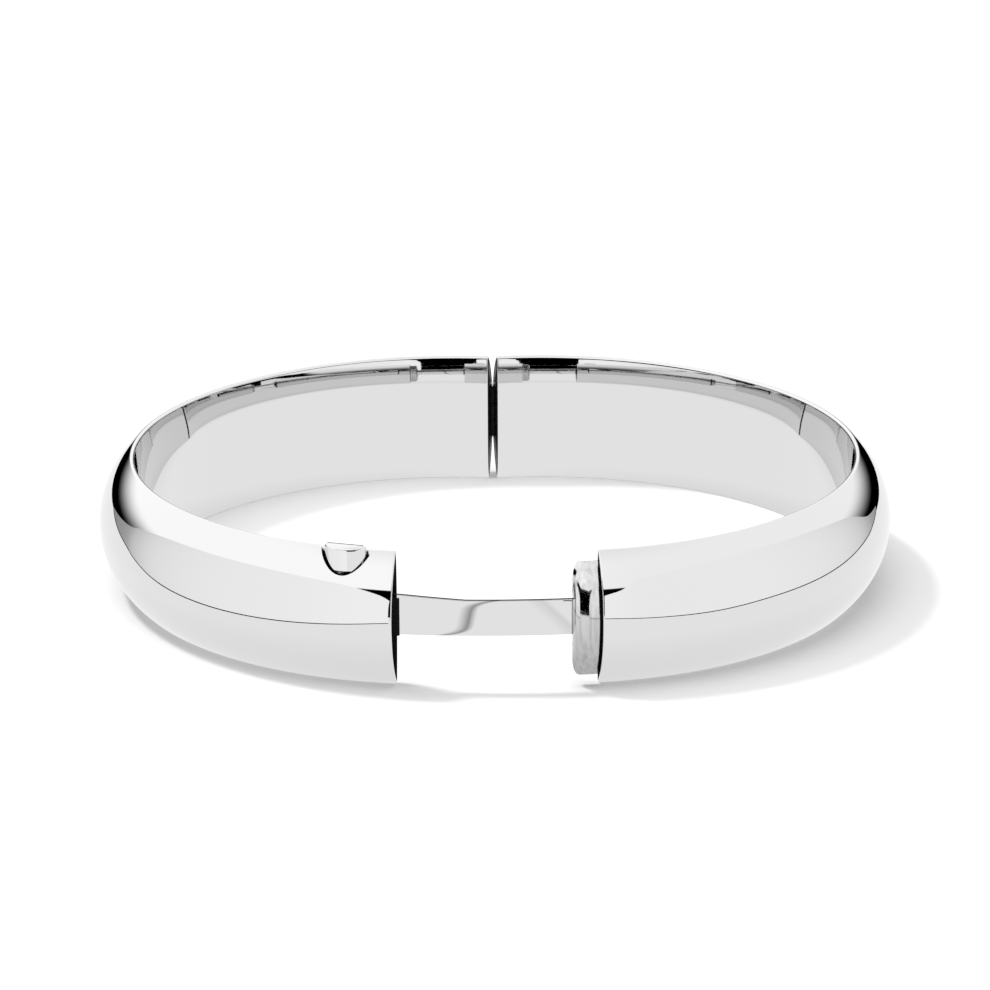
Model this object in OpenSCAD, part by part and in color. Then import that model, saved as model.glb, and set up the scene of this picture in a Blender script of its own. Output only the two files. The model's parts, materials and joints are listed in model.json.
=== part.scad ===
// Hinged oval bangle bracelet, shown part open. Two hollow halves turn on a
// concealed rear hinge. A curved tongue bridges the front gap and slides in
// both halves, and a push button works the catch hook for the plug.
// Millimetres, +Z up, origin at the centre of the footprint on the rest plane.

/* [Oval] */
// Inside radius of the two end arcs, at the hinge and at the clasp
end_r = 26.8; // [26.6:0.1:27.4]
// Inside radius of the two side arcs
side_r = 30.6; // [30.2:0.1:31.5]
// How far the two halves are swung apart, in degrees
open_deg = 16; // [14:0.5:17]

/* [Band] */
// Height of the band
band_h = 12; // [11.5:0.1:13]
// Thickness of the band at the crown of the dome
band_t = 3.25; // [3.2:0.05:3.5]
// Width of the flat rims at top and bottom
rim_w = 0.2; // [0.15:0.05:0.3]
// Sheet thickness of the shells and liners
wall = 0.35; // [0.3:0.01:0.37]
// Height of the shell lip that covers each liner edge
lip_h = 0.4; // [0.35:0.05:0.5]
// Angle that each end is cut short of the seam plane, in degrees
seam_deg = 0.15; // [0.1:0.01:0.2]

/* [Hinge] */
// Depth of the hinge axis behind the inside wall
pivot_t = 2.45; // [2.4:0.05:2.5]
// Outside radius of the knuckles
knuckle_r = 0.8; // [0.7:0.05:0.85]
// Radius of the hinge pin
pin_r = 0.4; // [0.35:0.05:0.45]
// Running clearance of the pin in the loose knuckle, on radius
pin_clear = 0.03; // [0.02:0.01:0.06]
// Height of the whole stack of three knuckles
stack_h = 4.8; // [4.4:0.1:5.2]
// Length of the solid hinge blocks in the band ends
block_len = 2.2; // [2:0.1:3]

/* [Tongue] */
// Thickness of the tongue strip
tongue_t = 0.32; // [0.25:0.01:0.34]
// Depth of the tongue behind the inside wall, at the seam
tongue_depth = 1.1; // [1.05:0.01:1.15]
// Height of the tongue's lower edge
tongue_z = 4.8; // [4.75:0.05:4.85]
// Height of the tongue strip
tongue_h = 3.2; // [3:0.05:3.25]
// Extra height where the strip flares towards the left half
flare_h = 0.4; // [0.2:0.05:0.45]
// Half of the tongue's angle about the hinge axis, in degrees
tongue_deg = 8.8; // [8.7:0.05:8.9]
// Share of the opening that the tongue takes from the left half
tongue_share = 0.36; // [0.35:0.01:0.37]

/* [Clasp] */
// How far the plug stands out of the right half
plug_len = 2.2; // [1.8:0.05:2.3]
// Clearance of the plug in the left half
plug_clear = 0.12; // [0.1:0.01:0.15]
// Arc distance of the button's centre from the seam
button_s = 4.6; // [4.5:0.05:4.7]
// Radius of the button's round front
button_r = 2.15; // [2:0.05:2.2]
// How far the button stands above the rim
button_up = 0.5; // [0.4:0.05:0.6]
// Travel of the button when it is pressed
button_travel = 0.5; // [0.4:0.05:0.5]

/* [Hidden] */
$fn = 180;
far = 100;

// Oval: the end and side arcs are tangent where they meet, at join_deg
join_deg = 45;
arc_shift = side_r - end_r;
end_y = arc_shift * sin(join_deg);
half_d = end_y + end_r;
seam_x = end_r * sin(seam_deg);

// Dome of the band: one arc that ends on the outer edge of both rims
rise = band_t - rim_w;
dome_r = (rise * rise + band_h * band_h / 4) / (2 * rise);
dome_t = band_t - dome_r;
mid_z = band_h / 2;

// Hinge axis and the box of the opened bangle, which sets the origin
pivot_y = half_d + pivot_t;
half_open = open_deg / 2;
back_y = pivot_y - (pivot_y - end_y) * cos(half_open) + end_r + band_t;
front_y = pivot_y - (pivot_y + end_y) * cos(half_open)
          - (end_r + band_t) * cos(half_open + seam_deg);
origin_y = (back_y + front_y) / 2;
relief_deg = 10;
relief_t = 0.1;
relief_size = 4;

// Knuckle stack
knuckle_gap = 0.08;
knuckle_h = (stack_h - 2 * knuckle_gap) / 3;
stack_z = mid_z + 0.1 - stack_h / 2;
barrel_clear = 0.12;
web_len = 1.8;
web_t = 0.5;
web_in = 0.15;
pin_head_h = 0.2;
pin_head_r = 0.55;

// Gap that is left around each fitting inside a band, for its solder
solder_gap = 0.01;

// Tongue
tongue_r = pivot_y + half_d + tongue_depth;
stop_len = 0.4;
left_stop_z = 8.75;
right_stop_z = 8.6;
flare_start = 0.3;
flare_len = 5.6;

// Slot in the plug face and window in the guide, around the tongue and finger
slot_t = [0.83, 1.43];
slot_z = [3.85, 8.12];
window_z = [3.8, 8.5];
plug_wall = 0.35;
plug_root = 0.8;
plate_len = 0.4;
plate_slot_top = right_stop_z + 0.15;
guide_s = 2.4;
guide_len = 0.3;
through = [-1, 1];

// Button: a round-fronted cap in a round-bottomed cut-out of the left shell
button_t = -0.3;
outward = 5;
cutout_r = 2.38;
cutout_z = 9;
cap_back_t = 0.5;
cap_clear = 0.8;
cap_z = cutout_z + button_travel + cap_clear;
cap_top = band_h + button_up;
cap_round = 0.35;
stem_r = 0.5;
stem_t = 1.2;

// Catch hook: a bent strip that reaches past the tongue to a finger under it
hook_w = 1.2;
hook_t = 0.22;
hook_out_t = 1.87;
hook_in_t = 0.8;
bar_z = 9.3;
bar_h = 0.25;
foot_z = 4.4;
foot_h = 0.25;
finger_t = [0.95, 1.35];
finger_s = 1.3;

// Guide pin, spring and seat under the hook
guide_pin_r = 0.25;
guide_pin_z = 2.2;
guide_pin_t = 1.15;
seat_top = 2.6;
seat_len = 1.8;
seat_clear = 0.04;
spring_r = 0.48;
spring_wire = 0.08;
spring_turns = 4.5;
spring_sides = 8;
spring_steps = 16;
spring_lift = 0.02;

// ---- Placing ----

// Angle of an arc distance s along the inside wall near the seam
function arc_deg(s) = s / end_r * 180 / PI;

// Turns the children about the hinge axis and moves them to the part's origin
module turned(deg) {
    translate([0, pivot_y - origin_y, 0])
        rotate(deg)
            translate([0, -pivot_y, 0])
                children();
}

module on_left() turned(-half_open) children();

module on_right() turned(half_open) children();

module on_tongue() turned(tongue_share * open_deg - half_open) children();

// Local frame in the left band at arc distance s from the front seam.
// Outward is -Y and deeper into the band is -X.
module in_left(s) {
    translate([0, -end_y, 0])
        rotate(-arc_deg(s))
            translate([0, -end_r, 0])
                children();
}

// Box in the local frame from depths t[0] to t[1] and arc distances s[0] to s[1]
module local_box(s, t, z) {
    translate([-s[1], -t[1], z[0]])
        cube([s[1] - s[0], t[1] - t[0], z[1] - z[0]]);
}

module band_arc(radius, start, angle) {
    rotate_extrude(start = start, angle = angle)
        translate([radius, 0])
            children();
}

// Stretch of the right half about one end centre: where = 1 rear, -1 front
module end_arc(where, deg_from, deg_to) {
    translate([0, where * end_y, 0])
        band_arc(end_r, where > 0 ? 90 - deg_to : 270 + deg_from, deg_to - deg_from)
            children();
}

// Whole right half of the closed oval for one band profile. Each arc is placed
// from the one before, so that they share the faces where they meet.
module half_band() {
    end_deg = 90 - join_deg - seam_deg;
    translate([0, end_y, 0])
        rotate(join_deg) {
            band_arc(end_r, 0, end_deg) children();
            translate([-arc_shift, 0, 0]) {
                band_arc(side_r, -2 * join_deg, 2 * join_deg) children();
                rotate(-2 * join_deg)
                    translate([arc_shift, 0, 0])
                        band_arc(end_r, -end_deg, end_deg) children();
            }
        }
}

module as_left() mirror([1, 0, 0]) children();

// ---- Band profiles: X is the depth behind the inside wall, Y is the height ----

module dome_disc(inset) {
    translate([dome_t, mid_z])
        circle(dome_r - inset);
}

module outer_profile() {
    intersection() {
        dome_disc(0);
        square([band_t + 1, band_h]);
    }
}

module hollow_profile(inset = 0) {
    intersection() {
        dome_disc(wall + inset);
        translate([wall + inset, 0])
            square([band_t, band_h]);
    }
}

module liner_profile() {
    translate([0, lip_h])
        square([wall, band_h - 2 * lip_h]);
}

module shell_profile() {
    difference() {
        outer_profile();
        hollow_profile();
        liner_profile();
    }
}

// ---- Hinge ----

// Space behind the hinge axis that the ends give up so that they can swing
module hinge_relief() {
    translate([seam_x, pivot_y + relief_t, -1])
        rotate(-relief_deg)
            translate([-relief_size, 0, 0])
                cube([relief_size, relief_size, band_h + 2]);
}

module barrel_space() {
    end_clear = barrel_clear + pin_head_h;
    translate([0, pivot_y, stack_z - end_clear])
        cylinder(r = knuckle_r + barrel_clear, h = stack_h + 2 * end_clear);
}

module web(z, h) {
    translate([0, pivot_y - web_in - web_t, z])
        cube([web_len, web_t, h]);
}

module knuckle(z, bore_r) {
    difference() {
        union() {
            translate([0, pivot_y, z])
                cylinder(r = knuckle_r, h = knuckle_h);
            web(z, knuckle_h);
        }
        translate([0, pivot_y, z - 1])
            cylinder(r = bore_r, h = knuckle_h + 2);
    }
}

function knuckle_z(i) = stack_z + i * (knuckle_h + knuckle_gap);

// Solid block in the rear end of the right band, let out for the webs
module hinge_block(levels) {
    difference() {
        end_arc(1, seam_deg, arc_deg(block_len)) hollow_profile(solder_gap);
        hinge_relief();
        barrel_space();
        for (i = levels)
            web(knuckle_z(i), knuckle_h);
    }
}

module plain_shell() {
    difference() {
        half_band() shell_profile();
        hinge_relief();
        barrel_space();
    }
}

// ---- Left half ----

module button_cutout() {
    in_left(button_s)
        intersection() {
            translate([0, -button_t, cutout_z])
                cylinder(r = cutout_r, h = band_h);
            local_box([-outward, outward], [wall, outward], [cutout_z, 2 * band_h]);
        }
}

module left_shell() {
    color("gainsboro")
        on_left()
            difference() {
                as_left() plain_shell();
                button_cutout();
            }
}

module left_liner() {
    color("silver")
        on_left()
            as_left() half_band() liner_profile();
}

module left_hinge_block() {
    color("darkgray")
        on_left()
            as_left() hinge_block([0, 2]);
}

module left_knuckles() {
    color("gray")
        on_left()
            as_left()
                for (i = [0, 2])
                    knuckle(knuckle_z(i), pin_r);
}

module hinge_pin() {
    color("dimgray")
        on_left()
            translate([0, pivot_y, 0]) {
                translate([0, 0, stack_z])
                    cylinder(r = pin_r, h = stack_h);
                translate([0, 0, stack_z - pin_head_h])
                    cylinder(r = pin_head_r, h = pin_head_h);
                translate([0, 0, stack_z + stack_h])
                    cylinder(r = pin_head_r, h = pin_head_h);
            }
}

// Bulkhead inside the mouth that guides the tongue and stops its end
module tongue_guide() {
    color("darkgray")
        on_left()
            difference() {
                as_left()
                    end_arc(-1, arc_deg(guide_s), arc_deg(guide_s + guide_len))
                        hollow_profile(solder_gap);
                in_left(guide_s + guide_len / 2)
                    local_box(through, slot_t, window_z);
            }
}

module spring_seat() {
    color("darkgray")
        on_left()
            difference() {
                as_left()
                    end_arc(-1, arc_deg(button_s - seat_len / 2),
                            arc_deg(button_s + seat_len / 2))
                        intersection() {
                            hollow_profile(solder_gap);
                            square([band_t, seat_top]);
                        }
                in_left(button_s)
                    translate([0, -guide_pin_t, -1])
                        cylinder(r = guide_pin_r + seat_clear, h = band_h);
            }
}

// Points of one ring of the spring's wire, at step i of the helix
function spring_ring(i, height) =
    let (turn = 360 * i / spring_steps,
         z = height * i / (spring_turns * spring_steps))
    [for (k = [0 : spring_sides - 1])
        let (a = 360 * k / spring_sides,
             r = spring_r + spring_wire * cos(a))
        [r * cos(turn), r * sin(turn), z + spring_wire * sin(a)]];

module helix(height) {
    rings = spring_turns * spring_steps;
    points = [for (i = [0 : rings]) each spring_ring(i, height)];
    sides = [for (i = [0 : rings - 1], k = [0 : spring_sides - 1])
        let (a = i * spring_sides, n = (k + 1) % spring_sides)
        each [[a + k, a + n, a + spring_sides + k],
              [a + n, a + spring_sides + n, a + spring_sides + k]]];
    first = [for (k = [spring_sides - 1 : -1 : 0]) k];
    last = [for (k = [0 : spring_sides - 1]) rings * spring_sides + k];
    polyhedron(points = points, faces = concat([first], sides, [last]));
}

module button_spring() {
    color("slategray")
        on_left()
            in_left(button_s)
                translate([0, -guide_pin_t, seat_top + spring_wire + spring_lift])
                    helix(foot_z - seat_top - 2 * (spring_wire + spring_lift));
}

// ---- Button and catch, carried by the left half ----

module push_button() {
    color("whitesmoke")
        on_left()
            in_left(button_s)
                intersection() {
                    translate([0, -button_t, 0])
                        rotate_extrude() {
                            translate([0, cap_z])
                                square([button_r, cap_top - cap_round - cap_z]);
                            translate([0, cap_z])
                                square([button_r - cap_round, cap_top - cap_z]);
                            intersection() {
                                translate([button_r - cap_round, cap_top - cap_round])
                                    circle(cap_round);
                                translate([0, cap_z])
                                    square([far, far]);
                            }
                        }
                    local_box([-outward, outward], [cap_back_t, outward], [0, 2 * band_h]);
                }
}

module button_stem() {
    color("silver")
        on_left()
            in_left(button_s)
                translate([0, -stem_t, bar_z + bar_h])
                    cylinder(r = stem_r, h = cap_z - bar_z - bar_h);
}

module catch_hook() {
    half = hook_w / 2;
    color("lightsteelblue")
        on_left()
            in_left(button_s) {
                local_box([-half, half], [hook_in_t, hook_out_t], [bar_z, bar_z + bar_h]);
                local_box([-half, half], [hook_out_t - hook_t, hook_out_t],
                          [foot_z, bar_z + bar_h]);
                local_box([-half, half], [hook_in_t, hook_out_t], [foot_z, foot_z + foot_h]);
                local_box([finger_s - button_s, 0], finger_t, [foot_z, foot_z + foot_h]);
            }
}

module catch_guide_pin() {
    color("silver")
        on_left()
            in_left(button_s)
                translate([0, -guide_pin_t, guide_pin_z])
                    cylinder(r = guide_pin_r, h = foot_z - guide_pin_z);
}

// ---- Right half ----

module right_shell() {
    color("gainsboro")
        on_right()
            plain_shell();
}

module right_liner() {
    color("silver")
        on_right()
            half_band() liner_profile();
}

module right_hinge_block() {
    color("darkgray")
        on_right()
            hinge_block([1]);
}

module right_knuckle() {
    color("gray")
        on_right()
            knuckle(knuckle_z(1), pin_r + pin_clear);
}

// Part of the front end arc that runs from the left band into the right one
module across_seam(deg_left, deg_right) {
    translate([0, -end_y, 0])
        band_arc(end_r, 270 - deg_left, deg_left + deg_right)
            children();
}

module clasp_plug() {
    color("gainsboro")
        on_right()
            difference() {
                across_seam(arc_deg(plug_len), arc_deg(plug_root))
                    hollow_profile(plug_clear);
                across_seam(arc_deg(plug_len - plug_wall), arc_deg(plug_root + 1))
                    hollow_profile(plug_clear + plug_wall);
                in_left(plug_len)
                    local_box(through, slot_t, slot_z);
            }
}

// Plate across the right mouth that carries the plug, open for the tongue
module plug_back_plate() {
    color("darkgray")
        on_right()
            difference() {
                end_arc(-1, arc_deg(plug_root), arc_deg(plug_root + plate_len))
                    hollow_profile(solder_gap);
                as_left()
                    in_left(plug_root + plate_len / 2)
                        local_box(through, slot_t, [slot_z[0], plate_slot_top]);
            }
}

// ---- Tongue ----

// Front outline of the tongue, in X and Z, with a stop at each end
module tongue_outline() {
    end_x = tongue_r * sin(tongue_deg);
    top = tongue_z + tongue_h;
    polygon([[-end_x, tongue_z],
             [end_x, tongue_z],
             [end_x, right_stop_z],
             [end_x - stop_len, right_stop_z],
             [end_x - stop_len, top],
             [-flare_start, top],
             [-flare_start - flare_len, top + flare_h],
             [-end_x + stop_len, top + flare_h],
             [-end_x + stop_len, left_stop_z],
             [-end_x, left_stop_z]]);
}

module tongue() {
    color("gainsboro")
        on_tongue()
            intersection() {
                translate([0, pivot_y, 0])
                    rotate_extrude(start = 270 - 2 * tongue_deg, angle = 4 * tongue_deg)
                        translate([tongue_r - tongue_t / 2, 0])
                            square([tongue_t, band_h]);
                rotate([90, 0, 0])
                    linear_extrude(far)
                        tongue_outline();
            }
}

left_shell();
left_liner();
left_hinge_block();
left_knuckles();
hinge_pin();
right_shell();
right_liner();
right_hinge_block();
right_knuckle();
clasp_plug();
plug_back_plate();
tongue();
tongue_guide();
push_button();
button_stem();
catch_hook();
catch_guide_pin();
button_spring();
spring_seat();
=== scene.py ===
"""Polished hinged bangle bracelet, part open, on a plain pale floor.

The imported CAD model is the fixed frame. The visible band, button, plug and
tongue are finer meshes in the places of their CAD nodes; the hinge and the
catch keep their CAD shapes with better materials. Lengths are in millimetres
until place() and stage_object() turn them into metres.
"""

import json
import math

import bmesh
import bpy
from mathutils import Matrix, Vector


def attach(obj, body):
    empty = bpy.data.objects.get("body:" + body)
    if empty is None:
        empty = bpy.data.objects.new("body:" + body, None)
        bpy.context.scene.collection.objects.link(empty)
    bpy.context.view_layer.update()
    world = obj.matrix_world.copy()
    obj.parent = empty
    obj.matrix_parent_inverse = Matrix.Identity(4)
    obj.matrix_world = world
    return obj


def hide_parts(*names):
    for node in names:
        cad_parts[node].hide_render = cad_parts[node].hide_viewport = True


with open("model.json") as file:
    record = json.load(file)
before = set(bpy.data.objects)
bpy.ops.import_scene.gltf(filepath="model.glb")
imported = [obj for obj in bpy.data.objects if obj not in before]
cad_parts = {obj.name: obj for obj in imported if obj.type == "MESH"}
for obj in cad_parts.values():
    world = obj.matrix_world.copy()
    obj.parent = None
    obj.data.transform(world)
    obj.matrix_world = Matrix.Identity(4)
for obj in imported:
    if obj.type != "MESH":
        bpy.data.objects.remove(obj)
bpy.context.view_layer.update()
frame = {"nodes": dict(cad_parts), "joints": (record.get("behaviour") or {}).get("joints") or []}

# ---- Sizes, in millimetres, as in the CAD unless a comment says otherwise ----

MM = 0.001
BAND_H = 12.0
MID_Z = BAND_H / 2
BAND_T = 3.25           # crown of the dome, from the inside wall
HALF_WIDTH = 27.913     # closed inside wall, centre to side
HALF_DEPTH = 29.487     # closed inside wall, centre to hinge or clasp
END_R = 26.8            # radius of the inside wall near the clasp
END_Y = HALF_DEPTH - END_R
PIVOT_T = 2.45          # depth of the hinge axis in the band
PIVOT_Y = HALF_DEPTH + PIVOT_T
SEAM_DEG = 0.15         # half of the closed seam, as an angle
SHEET_T = 0.3
LIP_H = 0.4             # the shell ends this far down the inside wall

# Hinge clearances: the rear ends fall away outside the axis, and the shells
# have a round hole for the knuckles
RELIEF_T = PIVOT_T + 0.1
RELIEF_SLOPE = math.tan(math.radians(10))
BARREL_R = 0.92
BARREL_Z = (3.38, 8.82)
BARREL_SIDES = 64

# Rounding of the band, finer than in the CAD: a slightly crowned inside wall,
# soft rims and soft ends
RIM_R = 0.27
CROWN = 0.35
CROWN_CUBIC = 0.00178
END_ROUND = 0.12
END_HOLD = 0.03         # one more ring this far in keeps the sides' reflections straight

# Button and its cut-out, in the band's own frame at arc distance BUTTON_S
BUTTON_S = 4.3          # 0.3 nearer to the end than in the CAD
BUTTON_T = -0.3
BUTTON_R = 2.17
BUTTON_BACK_T = 0.5
BUTTON_Z = (10.3, 12.5)
BUTTON_CHAMFER = 0.1
BUTTON_ROUND = 0.35
BUTTON_CORNER = 0.25
CUTOUT_R = 2.38
CUTOUT_BACK_T = 0.35
CUTOUT_Z = 9.0

# Plug, with a soft upright ridge on its front
PLUG_LEN = 2.2
PLUG_ROOT = 0.8         # hidden length behind the shell's end
PLUG_INSET = 0.47
PLUG_CORNER = 0.1
PLUG_ROUND = 0.65
RIDGE_S = 0.95
RIDGE_SLOPE = (0.2, 0.36)     # towards the shell, towards the plug's end
RIDGE_SOFT = 0.22
RIDGE_FADE = 0.8
SLOT_T = (0.83, 1.43)
SLOT_Z = (3.85, 8.12)
SLOT_PAST = 0.5         # the slot's cutter passes both ends by this

# Tongue, an arc about the hinge axis; its top rises over FLARE_X to the left
TONGUE_R = PIVOT_Y + HALF_DEPTH + 1.1
TONGUE_T = 0.32
TONGUE_DEG = 8.8
TONGUE_Z = 4.8
TONGUE_TOP = 8.0
TONGUE_ROUND = 0.06
# The tongue's top edge takes the near-black material: a painted dark line along it
TONGUE_EDGE = range(2, 7)     # section sides along the sheared top edge
TONGUE_SHARE = 0.36
FLARE_X = (-5.9, -0.3)
FLARE_H = 0.4
STOP_LEN = 0.4
STOP_TOP = (8.75, 8.6)
STOP_STEP = 1e-3

# Thin near-black sleeve round the tongue at the left end, painted shade at the mouth
SLEEVE_T = (0.87, 1.39)
SLEEVE_Z = (4.72, 8.08)
SLEEVE_S = (-0.34, 1.6)

# ---- Places ----

JOINTS = {j["name"]: j for j in frame["joints"]}
PIVOT = Vector(JOINTS["main_hinge"]["pos_m"]) / MM
OPEN_DEG = -JOINTS["main_hinge"]["range_deg"][0]


def turned(degrees):
    """From the closed bangle to the part-open one, about the hinge axis."""
    turn = Matrix.Rotation(math.radians(degrees), 4, "Z")
    return Matrix.Translation(PIVOT) @ turn @ Matrix.Translation((0, -PIVOT_Y, 0))


SWING = {"left": turned(-OPEN_DEG / 2), "right": turned(OPEN_DEG / 2)}
MIRROR = {"left": Matrix.Scale(-1, 4, (1, 0, 0)), "right": Matrix.Identity(4)}
ON_TONGUE = turned(TONGUE_SHARE * OPEN_DEG - OPEN_DEG / 2)
TO_METRES = Matrix.Scale(MM, 4)


def in_left(length):
    """Local frame of the left band: outward is -Y, deeper into the band is -X."""
    turn = Matrix.Rotation(-length / END_R, 4, "Z")
    return (SWING["left"] @ Matrix.Translation((0, -END_Y, 0)) @ turn
            @ Matrix.Translation((0, -END_R, 0)))


# Closed plan of the inside wall: its radius of curvature goes smoothly from
# sides to ends, and its point is known from the angle of its normal
MEAN_R = (HALF_WIDTH + HALF_DEPTH) / 2
WAVE_R = 1.5 * (HALF_DEPTH - HALF_WIDTH)
END_CURVE_R = MEAN_R - WAVE_R


def plan_point(angle, depth):
    c, s = math.cos(angle), math.sin(angle)
    x = MEAN_R * c + WAVE_R * (2 / 3 * c ** 3 - c)
    y = MEAN_R * s + WAVE_R * (s - 2 / 3 * s ** 3)
    return x + depth * c, y + depth * s


def span(first, last, count):
    return [first + (last - first) * i / (count - 1) for i in range(count)]


# ---- Band profile: (depth, height, depth and height parts of the normal) ----

def crown_depth(height):
    return CROWN_CUBIC * abs(height - MID_Z) ** 3 - CROWN


def crown_slope(height):
    return math.atan(3 * CROWN_CUBIC * (height - MID_Z) ** 2)


def rim_circle():
    """Centre depth of the rim's rounding and the slope where it leaves the crown."""
    slope = 0.0
    for _ in range(12):
        height = BAND_H - RIM_R + RIM_R * math.sin(slope)
        slope = crown_slope(height)
    return crown_depth(height) + RIM_R * math.cos(slope), slope


RIM_T, RIM_SLOPE = rim_circle()
RIM_Z = BAND_H - RIM_R
RIM_END_Z = RIM_Z + RIM_R * math.sin(RIM_SLOPE)


def dome_circle():
    """Radius of the dome that touches the rim's rounding, and where it does."""
    reach = BAND_T - RIM_T
    rise = MID_Z - RIM_R
    radius = (reach ** 2 + rise ** 2 - RIM_R ** 2) / (2 * (reach - RIM_R))
    return radius, math.asin(rise / (radius - RIM_R))


DOME_R, DOME_ANGLE = dome_circle()
DOME_T = BAND_T - DOME_R


def arc_path(centre_t, centre_z, radius, angles):
    return [(centre_t + radius * math.cos(a), centre_z + radius * math.sin(a),
             math.cos(a), math.sin(a)) for a in angles]


def wall_path(bottom, top, count):
    path = []
    for height in span(bottom, top, count):
        slope = math.copysign(crown_slope(height), height - MID_Z)
        path.append((crown_depth(height), height, -math.cos(slope), math.sin(slope)))
    return path


def shell_path(dome_count=91, rim_count=16, lip_count=4):
    """Outside of the shell, from the bottom lip over the dome to the top lip."""
    dome = arc_path(DOME_T, MID_Z, DOME_R, span(-DOME_ANGLE, DOME_ANGLE, dome_count))
    rim = arc_path(RIM_T, RIM_Z, RIM_R, span(DOME_ANGLE, math.pi - RIM_SLOPE, rim_count))
    top = rim[1:] + wall_path(RIM_END_Z, BAND_H - LIP_H, lip_count)[1:]
    bottom = [(t, BAND_H - z, nt, -nz) for t, z, nt, nz in reversed(top)]
    return bottom + dome + top


def inset(point, by):
    t, z, nt, nz = point
    return t - by * nt, z - by * nz, nt, nz


# ---- Meshes ----

def mesh_object(name, bm, materials):
    bmesh.ops.recalc_face_normals(bm, faces=bm.faces)
    if bm.calc_volume(signed=True) < 0:
        bmesh.ops.reverse_faces(bm, faces=bm.faces)
    mesh = bpy.data.meshes.new(name)
    bm.to_mesh(mesh)
    bm.free()
    for material in materials:
        mesh.materials.append(material)
    obj = bpy.data.objects.new(name, mesh)
    bpy.context.scene.collection.objects.link(obj)
    return obj


def bridged(rings, dark):
    """New bmesh with faces between neighbouring rings, and its rings of verts.

    The strips that dark numbers take the second material.
    """
    bm = bmesh.new()
    grid = [[bm.verts.new(point) for point in ring] for ring in rings]
    for a, b in zip(grid, grid[1:]):
        for i in range(len(a)):
            j = (i + 1) % len(a)
            face = bm.faces.new((a[i], a[j], b[j], b[i]))
            face.material_index = 1 if i in dark else 0
    return bm, grid


def tube(name, rings, materials, dark=()):
    """Closed solid through rings of equal counts, with a flat face on each end."""
    bm, grid = bridged(rings, dark)
    bm.faces.new(grid[0])
    bm.faces.new(grid[-1])
    return mesh_object(name, bm, materials)


def bent_sheet(name, rings, materials):
    """Closed sheet; the first half of each ring is its front, the second its back.

    The back and the last end take the second material.
    """
    half = len(rings[0]) // 2
    bm, grid = bridged(rings, range(half, 2 * half - 1))
    for ring, index in ((grid[0], 0), (grid[-1], 1)):
        for i in range(half - 1):
            face = bm.faces.new((ring[i], ring[i + 1], ring[-i - 2], ring[-i - 1]))
            face.material_index = index
    return mesh_object(name, bm, materials)


def prism(name, outline, bottom, top, materials):
    """Straight prism over an outline of (x, y) points."""
    rings = [[(x, y, z) for x, y in outline] for z in (bottom, top)]
    return tube(name, rings, materials)


def flat_faces(outlines, height=0.0):
    bm = bmesh.new()
    for outline in outlines:
        bm.faces.new([bm.verts.new((x, y, height)) for x, y in outline])
    return bm


def smooth(obj, crease_deg=35):
    obj.data.shade_smooth()
    obj.data.set_sharp_from_angle(angle=math.radians(crease_deg))
    return obj


def place(obj, matrix):
    """Moves the mesh from millimetres in its own frame into the frame, in metres."""
    whole = TO_METRES @ matrix
    obj.data.transform(whole)
    if whole.determinant() < 0:
        obj.data.flip_normals()
    return obj


def carve(obj, cutter):
    cut = obj.modifiers.new("carve", "BOOLEAN")
    cut.operation = "DIFFERENCE"
    cut.solver = "MANIFOLD"
    cut.object = cutter
    graph = bpy.context.evaluated_depsgraph_get()
    obj.data = bpy.data.meshes.new_from_object(obj.evaluated_get(graph))
    obj.modifiers.clear()
    bpy.data.objects.remove(cutter)


# ---- Materials ----

class Shading:
    """A new material with its Principled shader, and short ways to add nodes."""

    def __init__(self, name):
        self.material = bpy.data.materials.new(name)
        self.material.use_nodes = True
        self.nodes = self.material.node_tree.nodes
        self.links = self.material.node_tree.links
        self.shader = self.nodes["Principled BSDF"]

    def feed(self, socket, value):
        """Sets a socket to a number, or links it to another node's output."""
        if isinstance(value, (int, float)):
            socket.default_value = value
        else:
            self.links.new(value, socket)

    def shade(self, name, value):
        self.feed(self.shader.inputs[name], value)

    def calc(self, operation, *values):
        node = self.nodes.new("ShaderNodeMath")
        node.operation = operation
        for socket, value in zip(node.inputs, values):
            self.feed(socket, value)
        return node.outputs[0]

    def ranged(self, value, low, high, start=0.0, end=1.0, curve="LINEAR"):
        """Maps start to low and end to high, and stays there beyond them."""
        node = self.nodes.new("ShaderNodeMapRange")
        node.interpolation_type = curve
        for key, item in (("Value", value), ("From Min", start), ("From Max", end),
                          ("To Min", low), ("To Max", high)):
            self.feed(node.inputs[key], item)
        return node.outputs["Result"]

    def point(self):
        """The point in the object's own space, in metres."""
        return self.nodes.new("ShaderNodeTexCoord").outputs["Object"]

    def point_parts(self):
        node = self.nodes.new("ShaderNodeSeparateXYZ")
        self.feed(node.inputs[0], self.point())
        return node.outputs

    def grain(self, scale, detail, stretch=(1, 1, 1)):
        """Noise in object space, with its mapping scaled by stretch."""
        mapping = self.nodes.new("ShaderNodeMapping")
        mapping.inputs["Scale"].default_value = stretch
        noise = self.nodes.new("ShaderNodeTexNoise")
        noise.inputs["Scale"].default_value = scale
        noise.inputs["Detail"].default_value = detail
        self.feed(mapping.inputs["Vector"], self.point())
        self.feed(noise.inputs["Vector"], mapping.outputs["Vector"])
        return noise.outputs["Fac"]


FINE_DETAIL = 6
COARSE_DETAIL = 3
GRAIN_RANGE = (0.3, 0.7)      # part of the noise that spans the roughness
GRAIN_DEPTH = 0.01
METAL_SPECULAR = 0.6
DULL_SPECULAR = 0.1


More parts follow.
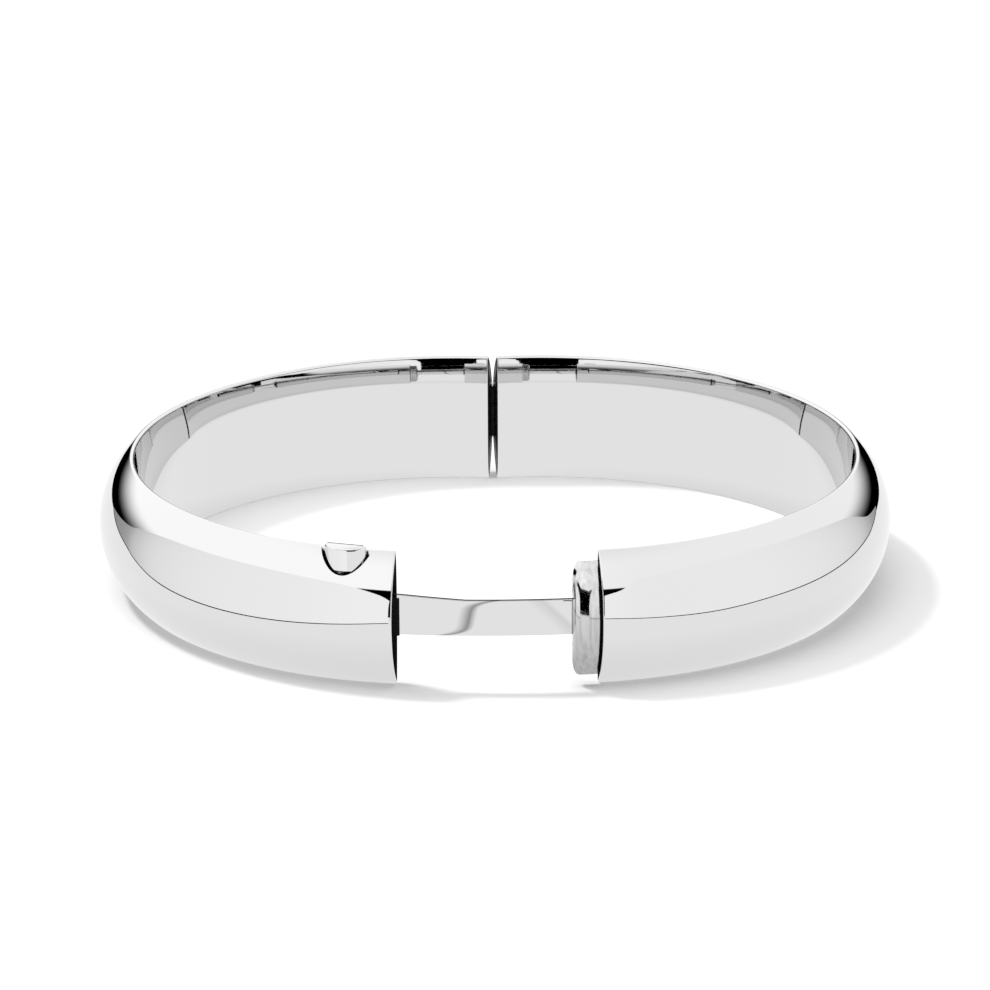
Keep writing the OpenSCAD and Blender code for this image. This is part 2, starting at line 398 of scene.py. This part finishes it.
def metal(name, tone, rough, grain_scale, stretch=(1, 1, 1), bump=0.0, shine=1.0):
    """White metal. rough is the lowest and highest roughness over the grain.

    shine 0 gives a dull surface with no mirror of its own; with a near-black tone it is painted
    shade.
    """
    look = Shading(name)
    look.shade("Metallic", shine)
    look.shade("Specular IOR Level",
               DULL_SPECULAR + (METAL_SPECULAR - DULL_SPECULAR) * shine)
    look.shader.inputs["Base Color"].default_value = (tone, tone, tone, 1)
    fine = look.grain(grain_scale, FINE_DETAIL, stretch)
    look.shade("Roughness", look.ranged(fine, *rough, *GRAIN_RANGE))
    if bump:
        relief = look.nodes.new("ShaderNodeBump")
        relief.inputs["Strength"].default_value = bump
        relief.inputs["Distance"].default_value = GRAIN_DEPTH * MM
        look.feed(relief.inputs["Height"], fine)
        look.shade("Normal", relief.outputs["Normal"])
    return look


BRUSH_BUMP = 0.15
STREAK_SHARE = 0.7            # size of the streaks' noise against the grain's
STREAK_RANGE = (0.3, 0.6)
# Painted shade on the brushed plug: its tone is multiplied by these shares at the two heights,
# darker towards the floor
PAINTED_LOW_SHADE = (0.62, 1.0)       # tone share at the two heights in PAINTED_LOW_SHADE_Z
PAINTED_LOW_SHADE_Z = (0.5, 9.0)


def brushed_metal(name, tones, rough, grain_scale, stretch):
    """Metal whose tone also varies with the brushing, with painted shade that darkens it towards
    the floor.
    """
    look = metal(name, tones[1], rough, grain_scale, stretch, BRUSH_BUMP)
    streaks = look.grain(STREAK_SHARE * grain_scale, COARSE_DETAIL, stretch)
    z = look.point_parts()["Z"]
    low = look.ranged(z, *PAINTED_LOW_SHADE, *(height * MM for height in PAINTED_LOW_SHADE_Z))
    tone = look.ranged(streaks, *tones, *STREAK_RANGE)
    look.shade("Base Color", look.calc("MULTIPLY", tone, low))
    return look


# Painted reflection: soft darker waves in the tongue's base colour; place along it, lean, tail,
# soft width, depth
REFLECTION_WAVES = [(-2.4, 0.35, 2.2, 1.0, 0.64), (5.4, -1.6, 0.0, 1.5, 0.16)]
REFLECTION_WAVE_Z = 6.4
REFLECTION_WAVE_HALF = 1.6
REFLECTION_WAVE_SHARP = 0.6
REFLECTION_WAVE_CURL = 6.0
REFLECTION_WAVE_FALL = 1.1


def strip_metal(name, tone, rough, grain_scale, stretch):
    """Metal with two soft darker waves of painted reflection across its base colour."""
    look = metal(name, tone, rough, grain_scale, stretch)
    x, _, z = look.point_parts()
    height = look.calc("DIVIDE", look.calc("SUBTRACT", z, REFLECTION_WAVE_Z * MM), REFLECTION_WAVE_HALF * MM)
    steep = look.calc("POWER", look.calc("ABSOLUTE", height), REFLECTION_WAVE_CURL)
    curl = look.calc("MULTIPLY", look.calc("SIGN", height), steep)
    for start, lean, tail, soft, depth in REFLECTION_WAVES:
        line = look.calc("ADD", look.calc("MULTIPLY_ADD", height, lean * MM, start * MM),
                         look.calc("MULTIPLY", curl, tail * MM))
        away = look.calc("SUBTRACT", x, line)
        rise = look.ranged(away, 0, 1, -soft * MM, 0)
        fall = look.ranged(away, 1, 0, 0, REFLECTION_WAVE_SHARP * MM)
        painted_wave = look.calc("POWER", look.calc("MULTIPLY", rise, fall), REFLECTION_WAVE_FALL)
        kept = look.calc("SUBTRACT", 1.0, look.calc("MULTIPLY", painted_wave, depth))
        tone = look.calc("MULTIPLY", kept, tone)
    look.shade("Base Color", tone)
    return look


BRIGHT = 0.73                 # tone of every polished piece
POLISHED = metal("polished_metal", BRIGHT, (0.012, 0.03), 900).material
POLISHED_WALL = metal("polished_inside_wall", BRIGHT, (0.012, 0.035), 700).material
BUTTON_METAL = metal("polished_button", BRIGHT, (0.015, 0.03), 1500).material
PLUG_METAL = brushed_metal("brushed_plug", (0.54, 0.7), (0.05, 0.12), 500,
                           (9, 9, 0.2)).material
# Near-black painted shade for the inside of the hollow band, its holes and slot, the hidden
# fittings, the sleeve and the tongue's top edge
PAINTED_SHADE_METAL = metal("painted_shade_dark", 0.012, (0.6, 0.9), 3000,
                  bump=0.3, shine=0.0).material
FILED_METAL = metal("filed_fittings", 0.45, (0.22, 0.42), 2500, (1, 1, 8), 0.3).material
# Near-black hinge blocks and knuckles: painted shade of the gap between the halves
HINGE_GAP_SHADE = metal("hinge_gap_painted_shade", 0.02, (0.25, 0.4), 2500, (1, 1, 8),
                    bump=0.2, shine=0.0).material
WIRE_METAL = metal("drawn_wire", 0.5, (0.15, 0.3), 3000, (6, 6, 1), 0.2).material
SPRING_METAL = metal("spring_sheet", 0.42, (0.18, 0.34), 3000, (1, 6, 1), 0.2).material
# Tongue metal; its darker waves are painted reflection
STRIP_METAL = strip_metal("polished_strip_painted_reflection", BRIGHT, (0.02, 0.05), 900, (1, 1, 6)).material


# ---- Band halves ----

def end_angles(depth, inside):
    """Normal angles at the clasp end and the hinge end, this far inside them."""
    seam = END_CURVE_R * math.radians(SEAM_DEG)
    relief = max(0.0, depth - RELIEF_T) * RELIEF_SLOPE
    radius = END_CURVE_R + depth
    return (-math.pi / 2 + (seam + inside) / radius,
            math.pi / 2 - (seam + relief + inside) / radius)


def end_steps():
    """(distance in from the end, inset) of the rings that round an end's edge."""
    arc = [(END_ROUND * (1 - math.sin(a)), END_ROUND * (1 - math.cos(a)))
           for a in span(math.pi / 2, 0, 5)]
    return arc + [(END_ROUND + END_HOLD, 0)]


def sweep(outer, along=300):
    """Rings of a sheet that follows the band, outer face first."""
    ends = end_steps()
    steps = ([(0, s, by) for s, by in ends]
             + [(u, END_ROUND, 0) for u in span(0, 1, along)[1:-1]]
             + [(1, s, by) for s, by in reversed(ends)])
    rings = []
    for u, s, by in steps:
        front = [inset(p, by) for p in outer]
        back = [inset(p, SHEET_T - by) for p in reversed(outer)]
        ring = []
        for t, z, _, _ in front + back:
            first, last = end_angles(t, s)
            x, y = plan_point(first + (last - first) * u, t)
            ring.append((x, y, z))
        rings.append(ring)
    return rings


def band_piece(side, part, outer, materials, node):
    obj = bent_sheet(f"{side}_{part}", sweep(outer), materials)
    place(obj, SWING[side] @ MIRROR[side])
    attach(obj, f"{side}_half")
    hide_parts(node)
    return obj


def half_disc(radius, centre_t, flat_t, corner=0.0, count=72, corner_count=10):
    """Outline in the local frame: a round front, cut flat at depth flat_t."""
    half = math.acos((flat_t + corner - centre_t) / (radius - corner))
    mid = (radius - corner) * math.sin(half)
    points = [(radius * math.sin(a), -(centre_t + radius * math.cos(a)))
              for a in span(-half, half, count)]
    if corner:
        right = [(mid + corner * math.sin(a), -(flat_t + corner + corner * math.cos(a)))
                 for a in span(half, math.pi, corner_count)[1:]]
        points += right + [(-x, y) for x, y in reversed(right)]
    return points


def make_shell(side):
    obj = band_piece(side, "polished_shell", shell_path(), [POLISHED, PAINTED_SHADE_METAL],
                     f"{side}_shell")
    ring = [(BARREL_R * math.sin(a), PIVOT_Y + BARREL_R * math.cos(a))
            for a in span(0, 2 * math.pi, BARREL_SIDES + 1)[:-1]]
    barrel = prism("barrel_cutter", ring, *BARREL_Z, [PAINTED_SHADE_METAL])
    carve(obj, place(barrel, SWING[side]))
    if side == "left":
        outline = half_disc(CUTOUT_R, BUTTON_T, CUTOUT_BACK_T)
        hole = prism("button_cutter", outline, CUTOUT_Z, 2 * BAND_H, [POLISHED])
        carve(obj, place(hole, in_left(BUTTON_S)))
    smooth(obj)


def make_liner(side):
    path = wall_path(LIP_H, BAND_H - LIP_H, count=61)
    obj = band_piece(side, "inside_wall", path, [POLISHED_WALL, PAINTED_SHADE_METAL],
                     f"{side}_liner")
    smooth(obj)


# ---- Button ----

def make_button(round_count=10):
    bottom, top = BUTTON_Z
    steps = [(bottom, BUTTON_CHAMFER), (bottom + BUTTON_CHAMFER, 0), (top - BUTTON_ROUND, 0)]
    steps += [(top - BUTTON_ROUND * (1 - math.sin(a)), BUTTON_ROUND * (1 - math.cos(a)))
              for a in span(0, math.pi / 2, round_count)[1:]]
    rings = []
    for z, by in steps:
        outline = half_disc(BUTTON_R - by, BUTTON_T, BUTTON_BACK_T + by, BUTTON_CORNER - by)
        rings.append([(x, y, z) for x, y in outline])
    obj = tube("button_cap", rings, [BUTTON_METAL])
    place(obj, in_left(BUTTON_S))
    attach(obj, "button")
    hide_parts("push_button")
    smooth(obj)


# ---- Plug ----

def plug_path(by, ridge, dome_count=61, corner_count=12):
    """Closed outline of the plug, rounded where its dome meets its flat back.

    ridge pushes the front in, and less towards the back.
    """
    radius = DOME_R - PLUG_INSET - by
    back = PLUG_INSET + by
    turn_t = back + PLUG_CORNER
    half = math.acos((turn_t - DOME_T) / (radius - PLUG_CORNER))
    turn_z = MID_Z + (radius - PLUG_CORNER) * math.sin(half)
    top = [(turn_t + PLUG_CORNER * math.cos(a), turn_z + PLUG_CORNER * math.sin(a))
           for a in span(half, math.pi, corner_count)[1:]]
    dome = [(DOME_T + radius * math.cos(a), MID_Z + radius * math.sin(a))
            for a in span(-half, half, dome_count)]
    low = [(t, BAND_H - z) for t, z in reversed(top)]
    return [(t - ridge * min(max((t - back) / RIDGE_FADE, 0), 1), z)
            for t, z in low + dome + top]


def plug_point(length, t, z):
    """length is the distance out of the right end."""
    x, y = plan_point(-math.pi / 2 - length / END_CURVE_R, t)
    return x, y, z


def plug_ridge(length):
    """How far the front has fallen away from its soft upright ridge."""
    off = length - RIDGE_S
    slope = RIDGE_SLOPE[0 if off < 0 else 1]
    return slope * (math.sqrt(off ** 2 + RIDGE_SOFT ** 2) - RIDGE_SOFT)


def slot_cutter(materials):
    """Straight box through the plug, all in the second material."""
    bm = bmesh.new()
    bmesh.ops.create_cube(bm, size=1)
    for face in bm.faces:
        face.material_index = 1
    length = PLUG_LEN + PLUG_ROOT + 2 * SLOT_PAST
    middle = plug_point((PLUG_LEN - PLUG_ROOT) / 2, sum(SLOT_T) / 2, sum(SLOT_Z) / 2)
    size = (length, SLOT_T[1] - SLOT_T[0], SLOT_Z[1] - SLOT_Z[0])
    cutter = mesh_object("slot_cutter", bm, materials)
    cutter.data.transform(Matrix.Translation(middle) @ Matrix.Diagonal((*size, 1)))
    return cutter


def make_plug(count=30, round_count=12):
    flat_end = PLUG_LEN - PLUG_ROUND
    steps = [(s, 0) for s in span(-PLUG_ROOT, flat_end, count)]
    steps += [(flat_end + PLUG_ROUND * math.sin(a), PLUG_ROUND * (1 - math.cos(a)))
              for a in span(0, math.pi / 2, round_count)[1:]]
    rings = [[plug_point(s, t, z) for t, z in plug_path(by, plug_ridge(s))]
             for s, by in steps]
    obj = tube("plug_body", rings, [PLUG_METAL, PAINTED_SHADE_METAL])
    carve(obj, slot_cutter([PLUG_METAL, PAINTED_SHADE_METAL]))
    place(obj, SWING["right"])
    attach(obj, "right_half")
    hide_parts("clasp_plug")
    smooth(obj)


# ---- Tongue and its sleeve ----

TONGUE_END_X = TONGUE_R * math.sin(math.radians(TONGUE_DEG))


def tongue_top(x):
    if x < -TONGUE_END_X + STOP_LEN:
        return STOP_TOP[0]
    if x > TONGUE_END_X - STOP_LEN:
        return STOP_TOP[1]
    share = (FLARE_X[1] - x) / (FLARE_X[1] - FLARE_X[0])
    return TONGUE_TOP + FLARE_H * min(max(share, 0), 1)


def tongue_section(top, corner_count=5):
    """Rounded strip section: (radius from the tongue's arc, height) points."""
    half = TONGUE_T / 2 - TONGUE_ROUND
    high, low = top - TONGUE_ROUND, TONGUE_Z + TONGUE_ROUND
    corners = [(half, high, 0), (-half, high, 90), (-half, low, 180), (half, low, 270)]
    points = []
    for r, z, start in corners:
        for degrees in span(start, start + 90, corner_count):
            a = math.radians(degrees)
            points.append((r + TONGUE_ROUND * math.cos(a), z + TONGUE_ROUND * math.sin(a)))
    return points


def make_tongue(count=241):
    stop_x = TONGUE_END_X - STOP_LEN
    edges = [-TONGUE_END_X, -stop_x, -stop_x + STOP_STEP,
             stop_x - STOP_STEP, stop_x, TONGUE_END_X]
    rings = []
    for x in sorted(set(span(-TONGUE_END_X, TONGUE_END_X, count) + edges)):
        angle = math.asin(x / TONGUE_R)
        ring = []
        for r, z in tongue_section(tongue_top(x)):
            radius = TONGUE_R + r
            ring.append((radius * math.sin(angle), PIVOT_Y - radius * math.cos(angle), z))
        rings.append(ring)
    obj = tube("tongue_strip", rings, [STRIP_METAL, PAINTED_SHADE_METAL], TONGUE_EDGE)
    place(obj, ON_TONGUE)
    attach(obj, "tongue")
    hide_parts("tongue")
    smooth(obj, 30)


def make_sleeve():
    """Near-black sleeve at the mouth of the tongue guide, painted shade there; it stands a
    little out of the left end.
    """
    (s0, s1), (t0, t1) = SLEEVE_S, SLEEVE_T
    outline = [(-s0, -t0), (-s0, -t1), (-s1, -t1), (-s1, -t0)]
    obj = prism("mouth_shade_sleeve", outline, *SLEEVE_Z, [PAINTED_SHADE_METAL])
    place(obj, in_left(0.0))
    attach(obj, "left_half")


# ---- CAD nodes that stay ----

NODE_MATERIALS = {
    "left_hinge_block": HINGE_GAP_SHADE, "right_hinge_block": HINGE_GAP_SHADE,
    "left_knuckles": HINGE_GAP_SHADE, "right_knuckle": HINGE_GAP_SHADE,
    "hinge_pin": WIRE_METAL, "catch_guide_pin": WIRE_METAL,
    "button_stem": FILED_METAL, "catch_hook": SPRING_METAL,
    "button_spring": SPRING_METAL, "spring_seat": FILED_METAL,
    "plug_back_plate": PAINTED_SHADE_METAL, "tongue_guide": PAINTED_SHADE_METAL,
}


def dress_nodes():
    for name, material in NODE_MATERIALS.items():
        materials = frame["nodes"][name].data.materials
        materials.clear()
        materials.append(material)


# ---- Studio ----

def stage_object(name, bm, material):
    obj = mesh_object(name, bm, [material])
    obj.data.transform(TO_METRES)
    return obj


def mirrored_only(name, bm, look):
    """Stage piece that only reflections see."""
    obj = stage_object(name, bm, look.material)
    obj.visible_camera = False
    obj.visible_diffuse = False
    obj.visible_shadow = False
    obj.visible_transmission = False
    return obj


def glow(name, strength=0.0):
    """Material that only shines; its shader is the emission node."""
    look = Shading(name)
    look.nodes.clear()
    out = look.nodes.new("ShaderNodeOutputMaterial")
    look.shader = look.nodes.new("ShaderNodeEmission")
    look.feed(out.inputs["Surface"], look.shader.outputs[0])
    look.shade("Strength", strength)
    look.material.cycles.emission_sampling = "NONE"
    return look


# Low white cards round the front: (x, y) of the base, height, and brightness
LEFT_CARD = [(-117, 113, 2, 0.30), (-78, 30, 11, 0.40), (-60, 4, 14.6, 0.70),
             (-47, -12, 16, 0.96), (-38, -25, 17.3, 1.08), (-29, -38, 19.5, 1.12),
             (-24, -47, 21.2, 1.15), (-20, -56, 20, 1.16), (-18, -59.5, 17, 1.16)]
RIGHT_CARD = [(104, 88, 3, 0.35), (84, 46, 8, 0.45), (75, 28, 11.5, 0.60),
              (69, 12, 21, 0.84), (60, -8, 27, 1.02), (50, -30, 33.5, 1.10),
              (38, -43, 33.3, 1.10), (30, -58, 34, 1.10), (27, -67, 28.5, 1.12),
              (23, -76, 25.5, 1.14), (16, -84, 14, 1.14)]
SEAM_SHARE = 0.0099           # dark line at a card's foot, per distance from SEAM_Y
SEAM_Y = -10

# Dark room beyond the table's back and front edges, just above the floor
TABLE_BACK = ((-300, 145), (300, 45))
TABLE_FRONT_Y = -112
TABLE_HALF = 300
TABLE_Z = 0.3
ROOM_HALF = 1400


def card_curve(points, per_step=8):
    """Catmull-Rom curve through rows of numbers."""
    rows = [points[0]] + points + [points[-1]]
    out = []
    for i in range(1, len(rows) - 2):
        for step in range(per_step):
            u = step / per_step
            out.append([0.5 * (2 * b + (c - a) * u + (2 * a - 5 * b + 4 * c - d) * u ** 2
                               + (3 * b - a - 3 * c + d) * u ** 3)
                        for a, b, c, d in zip(*rows[i - 1:i + 3])])
    out.append(list(points[-1]))
    return out


def make_card(name, points):
    look = glow(name + "_light")
    shade = look.nodes.new("ShaderNodeAttribute")
    shade.attribute_name = "shade"
    look.shade("Strength", shade.outputs["Fac"])
    bm = bmesh.new()
    layer = bm.verts.layers.float.new("shade")
    rows = []
    for x, y, height, value in card_curve(points):
        seam = SEAM_SHARE * math.hypot(x, y - SEAM_Y)
        row = []
        for z, level in ((0, 0.0), (seam, 0.0), (seam, value), (height, value)):
            vert = bm.verts.new((x, y, z))
            vert[layer] = level
            row.append(vert)
        rows.append(row)
    for a, b in zip(rows, rows[1:]):
        for i in (0, 2):
            bm.faces.new((a[i], a[i + 1], b[i + 1], b[i]))
    mirrored_only(name, bm, look)


def make_table_edges():
    back = [*TABLE_BACK, (ROOM_HALF, ROOM_HALF), (-ROOM_HALF, ROOM_HALF)]
    front = [(-TABLE_HALF, -ROOM_HALF), (TABLE_HALF, -ROOM_HALF),
             (TABLE_HALF, TABLE_FRONT_Y), (-TABLE_HALF, TABLE_FRONT_Y)]
    mirrored_only("table_edges", flat_faces([back, front], TABLE_Z), glow("dark_room"))


# Overhead softbox. Its lower edge is a height in degrees and a soft width; it
# goes from front to back between two azimuths, 0 at the front
TENT_R = 1500
FRONT_EDGE = (28.6, 1.2)
BACK_EDGE = (1.5, 15.0)
EDGE_AZIMUTHS = (50, 95)
TENT_LEVEL = 1.28
ZENITH_LEVEL = 1.08
ZENITH_HEIGHTS = (55, 90)
RIGHT_DIM = 0.12
RIGHT_FROM = (-0.3, 0.5)      # share of TENT_R towards +X


def make_tent():
    """A dome of light, dark below an edge that is sharp at the front and soft behind."""
    look = glow("tent_light")
    x, y, z = look.point_parts()
    radius = TENT_R * MM
    to_degrees = 180 / math.pi
    height = look.calc("MULTIPLY", look.calc("ARCSINE", look.calc("DIVIDE", z, radius)),
                       to_degrees)
    turn = look.calc("ARCTAN2", x, look.calc("MULTIPLY", y, -1))
    azimuth = look.calc("ABSOLUTE", look.calc("MULTIPLY", turn, to_degrees))

    def smoothstep(value, low, high):
        return look.ranged(value, 0.0, 1.0, low, high, "SMOOTHSTEP")

    def between(share, first, last):
        return look.calc("MULTIPLY_ADD", share, last - first, first)

    back = smoothstep(azimuth, *EDGE_AZIMUTHS)
    low = between(back, FRONT_EDGE[0], BACK_EDGE[0])
    width = between(back, FRONT_EDGE[1], BACK_EDGE[1])
    lit = smoothstep(height, low, look.calc("ADD", low, width))
    level = between(smoothstep(height, *ZENITH_HEIGHTS), TENT_LEVEL, ZENITH_LEVEL)
    side = smoothstep(look.calc("DIVIDE", x, radius), *RIGHT_FROM)
    level = look.calc("MULTIPLY", level, between(side, 1.0, 1.0 - RIGHT_DIM))
    look.shade("Strength", look.calc("MULTIPLY", lit, level))
    bm = bmesh.new()
    bmesh.ops.create_uvsphere(bm, u_segments=96, v_segments=64, radius=TENT_R)
    mirrored_only("softbox_tent", bm, look).data.shade_smooth()


FLOOR_SIZE = 3000
FLOOR_TONES = (0.8, 0.81)
FLOOR_ROUGH = 0.9
FLOOR_GRAIN = 400
FLOOR_GLOW = 0.14
REFLECTED_FLOOR = 1.03
CONTACT_R = 31.5              # ring where the reflected floor is dimmest
CONTACT_IN = 3.0
CONTACT_OUT = 9.0
CONTACT_DIP = 0.1


def floor_square():
    half = FLOOR_SIZE / 2
    return flat_faces([[(-half, -half), (half, -half), (half, half), (-half, half)]])


def make_floor():
    look = Shading("pale_floor")
    look.shade("Roughness", FLOOR_ROUGH)
    look.shade("Specular IOR Level", 0.0)
    paper = look.nodes.new("ShaderNodeMix")
    paper.data_type = "RGBA"
    paper.inputs["A"].default_value = (FLOOR_TONES[0],) * 3 + (1,)
    paper.inputs["B"].default_value = (FLOOR_TONES[1],) * 3 + (1,)
    look.feed(paper.inputs["Factor"], look.grain(FLOOR_GRAIN, COARSE_DETAIL))
    look.shade("Base Color", paper.outputs["Result"])
    look.shader.inputs["Emission Color"].default_value = (1, 1, 1, 1)
    look.shade("Emission Strength", FLOOR_GLOW)
    look.material.cycles.emission_sampling = "NONE"
    floor = stage_object("floor", floor_square(), look.material)
    floor.visible_glossy = False


def make_reflected_floor():
    """The evenly lit floor that the metal mirrors, dimmer under the band."""
    look = glow("reflected_floor_light")
    length = look.nodes.new("ShaderNodeVectorMath")
    length.operation = "LENGTH"
    look.feed(length.inputs[0], look.point())
    radius = length.outputs["Value"]
    near = look.ranged(radius, 0, 1, (CONTACT_R - CONTACT_IN) * MM, CONTACT_R * MM)
    far = look.ranged(radius, 1, 0, CONTACT_R * MM, (CONTACT_R + CONTACT_OUT) * MM)
    look.shade("Strength", look.ranged(look.calc("MULTIPLY", near, far), REFLECTED_FLOOR,
                                       REFLECTED_FLOOR - CONTACT_DIP))
    mirrored_only("reflected_floor", floor_square(), look)


AMBIENT = 0.15
LAMP_DISTANCE = 2.4           # metres, as are the two sizes
KEY_TOWARDS = Vector((-0.55, 0.3, 1.0))
KEY_SIZE = 0.39
KEY_SHARE = 0.33
FILL_TOWARDS = Vector((-0.05, -0.05, 1.0))
FILL_SIZE = 2.7
FILL_SHARE = 0.52


def make_lamp(name, towards, size, share):
    """Disc lamp that adds share to the brightness of the open floor.

    A floor of tone 1 gets the brightness energy * cosine / (pi^2 * spread).
    """
    direction = towards.normalized()
    lamp = bpy.data.lights.new(name, "AREA")
    lamp.shape = "DISK"
    lamp.size = size
    spread = LAMP_DISTANCE ** 2 + size ** 2 / 4
    lamp.energy = share / FLOOR_TONES[0] * math.pi ** 2 * spread / direction.z
    obj = bpy.data.objects.new(name, lamp)
    bpy.context.scene.collection.objects.link(obj)
    obj.location = direction * LAMP_DISTANCE
    obj.rotation_euler = direction.to_track_quat("Z", "Y").to_euler()
    obj.visible_glossy = False
    obj.visible_camera = False


def make_lights():
    world = bpy.data.worlds.new("studio")
    bpy.context.scene.world = world
    world.use_nodes = True
    background = world.node_tree.nodes["Background"]
    background.inputs["Color"].default_value = (1, 1, 1, 1)
    background.inputs["Strength"].default_value = AMBIENT
    make_lamp("key", KEY_TOWARDS, KEY_SIZE, KEY_SHARE)
    make_lamp("fill", FILL_TOWARDS, FILL_SIZE, FILL_SHARE)


# ---- Camera: angles in degrees, distance and aim in millimetres ----

CAMERA_ELEVATION = 17.6388
CAMERA_AZIMUTH = -0.3082
CAMERA_DISTANCE = 558.3366
CAMERA_AIM = Vector((0.0197, 0, 7.5456))
CAMERA_ROLL = -0.2567
CAMERA_LENS = 224.84
CAMERA_SENSOR = 36.0
CAMERA_CLIP = (0.01, 20)      # metres


def make_camera():
    e, a = math.radians(CAMERA_ELEVATION), math.radians(CAMERA_AZIMUTH)
    back = Vector((math.sin(a) * math.cos(e), -math.cos(a) * math.cos(e), math.sin(e)))
    right = (-back).cross(Vector((0, 0, 1))).normalized()
    up = right.cross(-back)
    roll = math.radians(CAMERA_ROLL)
    x_axis = right * math.cos(roll) + up * math.sin(roll)
    y_axis = -right * math.sin(roll) + up * math.cos(roll)
    pose = Matrix((x_axis, y_axis, back)).transposed().to_4x4()
    pose.translation = (CAMERA_AIM + back * CAMERA_DISTANCE) * MM
    data = bpy.data.cameras.new("camera")
    data.lens = CAMERA_LENS
    data.sensor_width = CAMERA_SENSOR
    data.clip_start, data.clip_end = CAMERA_CLIP
    camera = bpy.data.objects.new("camera", data)
    camera.matrix_world = pose
    bpy.context.scene.collection.objects.link(camera)
    bpy.context.scene.camera = camera


make_camera()
for half in ("left", "right"):
    make_shell(half)
    make_liner(half)
make_button()
make_plug()
make_tongue()
make_sleeve()
dress_nodes()
make_floor()
make_reflected_floor()
make_card("left_card", LEFT_CARD)
make_card("right_card", RIGHT_CARD)
make_table_edges()
make_tent()
make_lights()
bpy.context.scene.view_settings.view_transform = "Standard"
